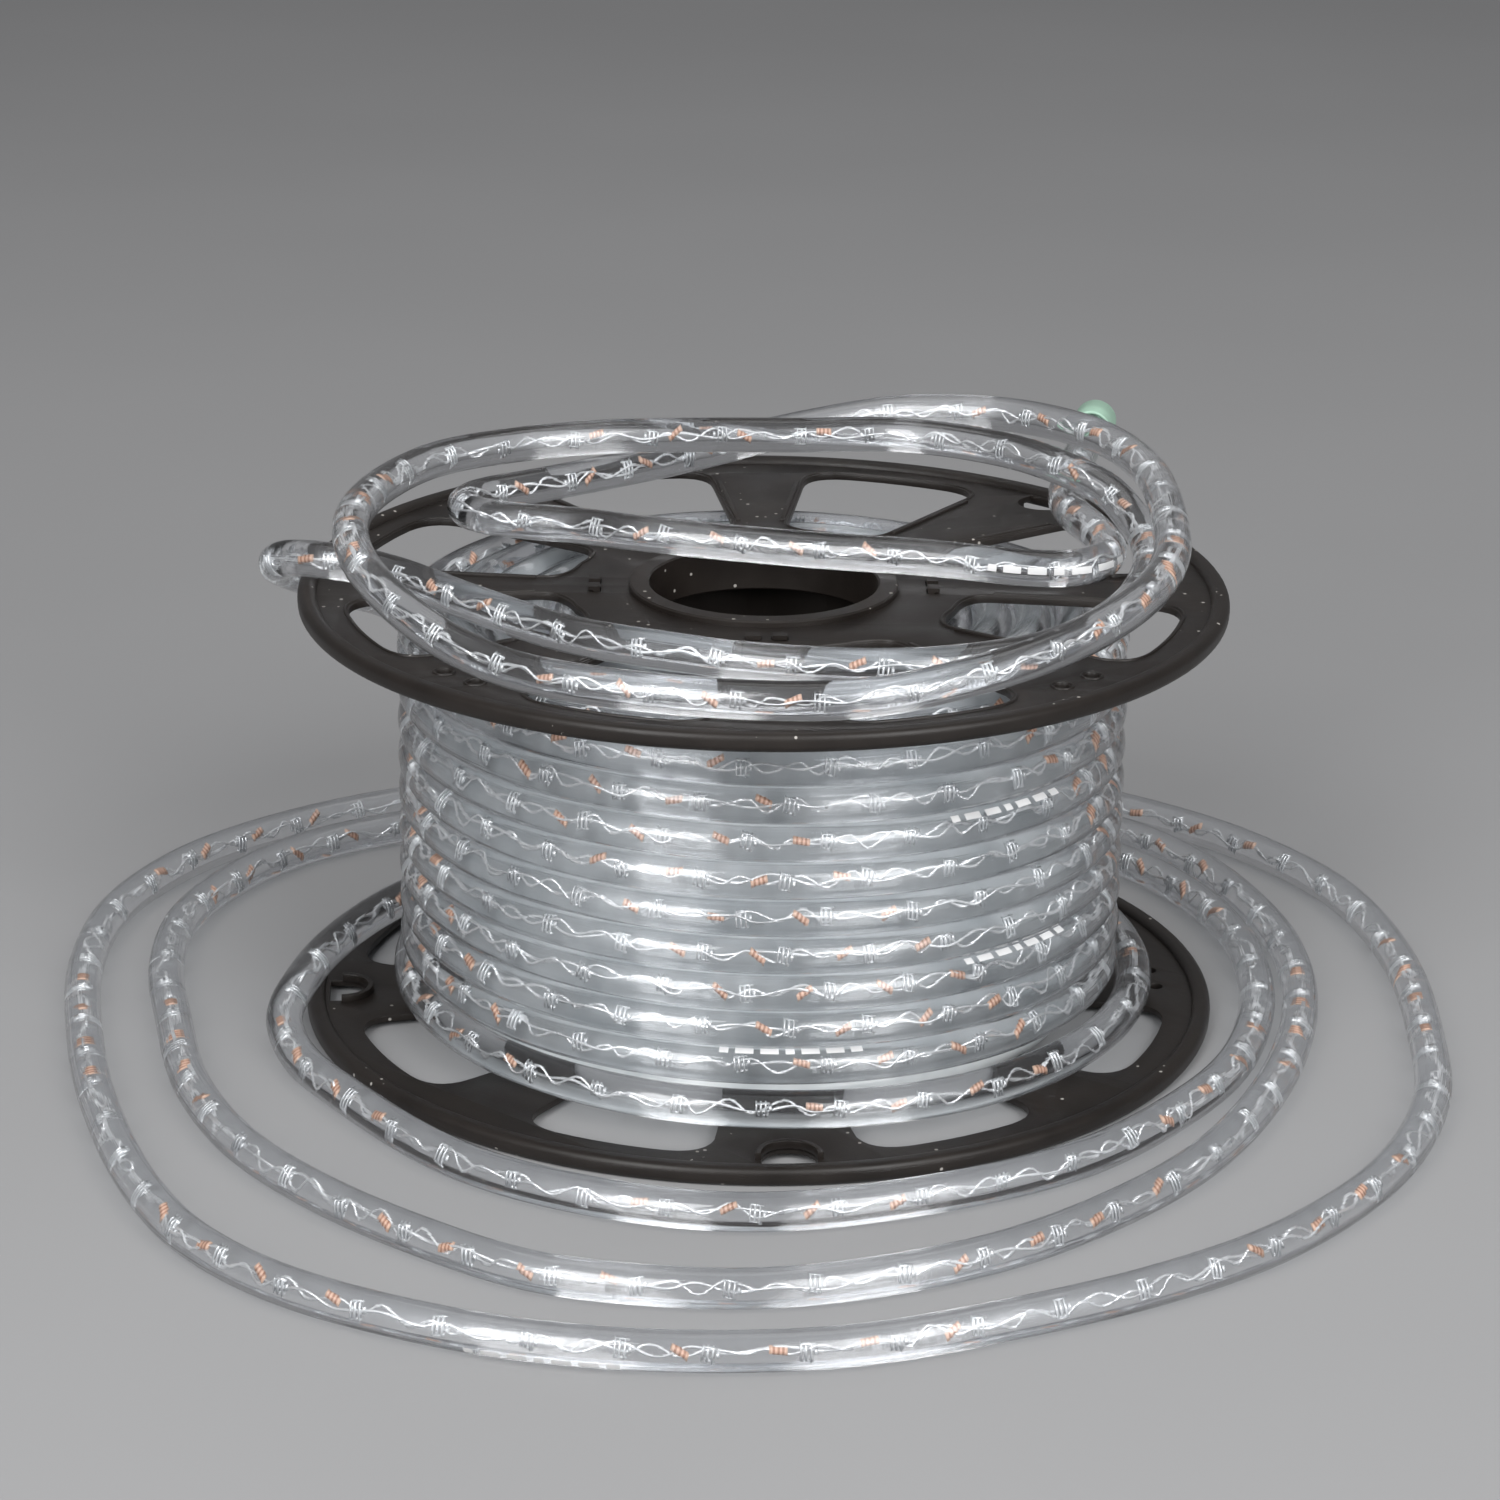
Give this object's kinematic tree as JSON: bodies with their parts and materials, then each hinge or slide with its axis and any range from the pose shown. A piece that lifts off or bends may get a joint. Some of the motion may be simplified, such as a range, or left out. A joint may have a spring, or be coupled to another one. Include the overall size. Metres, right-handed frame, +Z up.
{
  "type": "led rope light reel",
  "caption": "Dark plastic reel wound with clear round LED rope light, with loose turns of the rope on the floor round it and on its top flange",
  "frame": {"origin": "the middle of the spool's foot, on the surface that it stands on", "axes": "+X to the right in the picture, +Y away from the camera, +Z up along the spool's axis"},
  "size_m": [0.49, 0.528, 0.1853],
  "materials": {
    "spool_plastic": "semi-matt moulded plastic",
    "rope_pvc": "clear extruded PVC",
    "cap_pvc": "soft pale green PVC"
  },
  "bodies": {
    "root": {"bottom_flange": "spool_plastic", "top_flange": "spool_plastic", "barrel": "spool_plastic", "rope_inner_turns": "rope_pvc", "rope_winding": "rope_pvc", "rope_on_floor": "rope_pvc", "rope_on_top": "rope_pvc", "end_cap": "cap_pvc"}
  },
  "joints": []
}
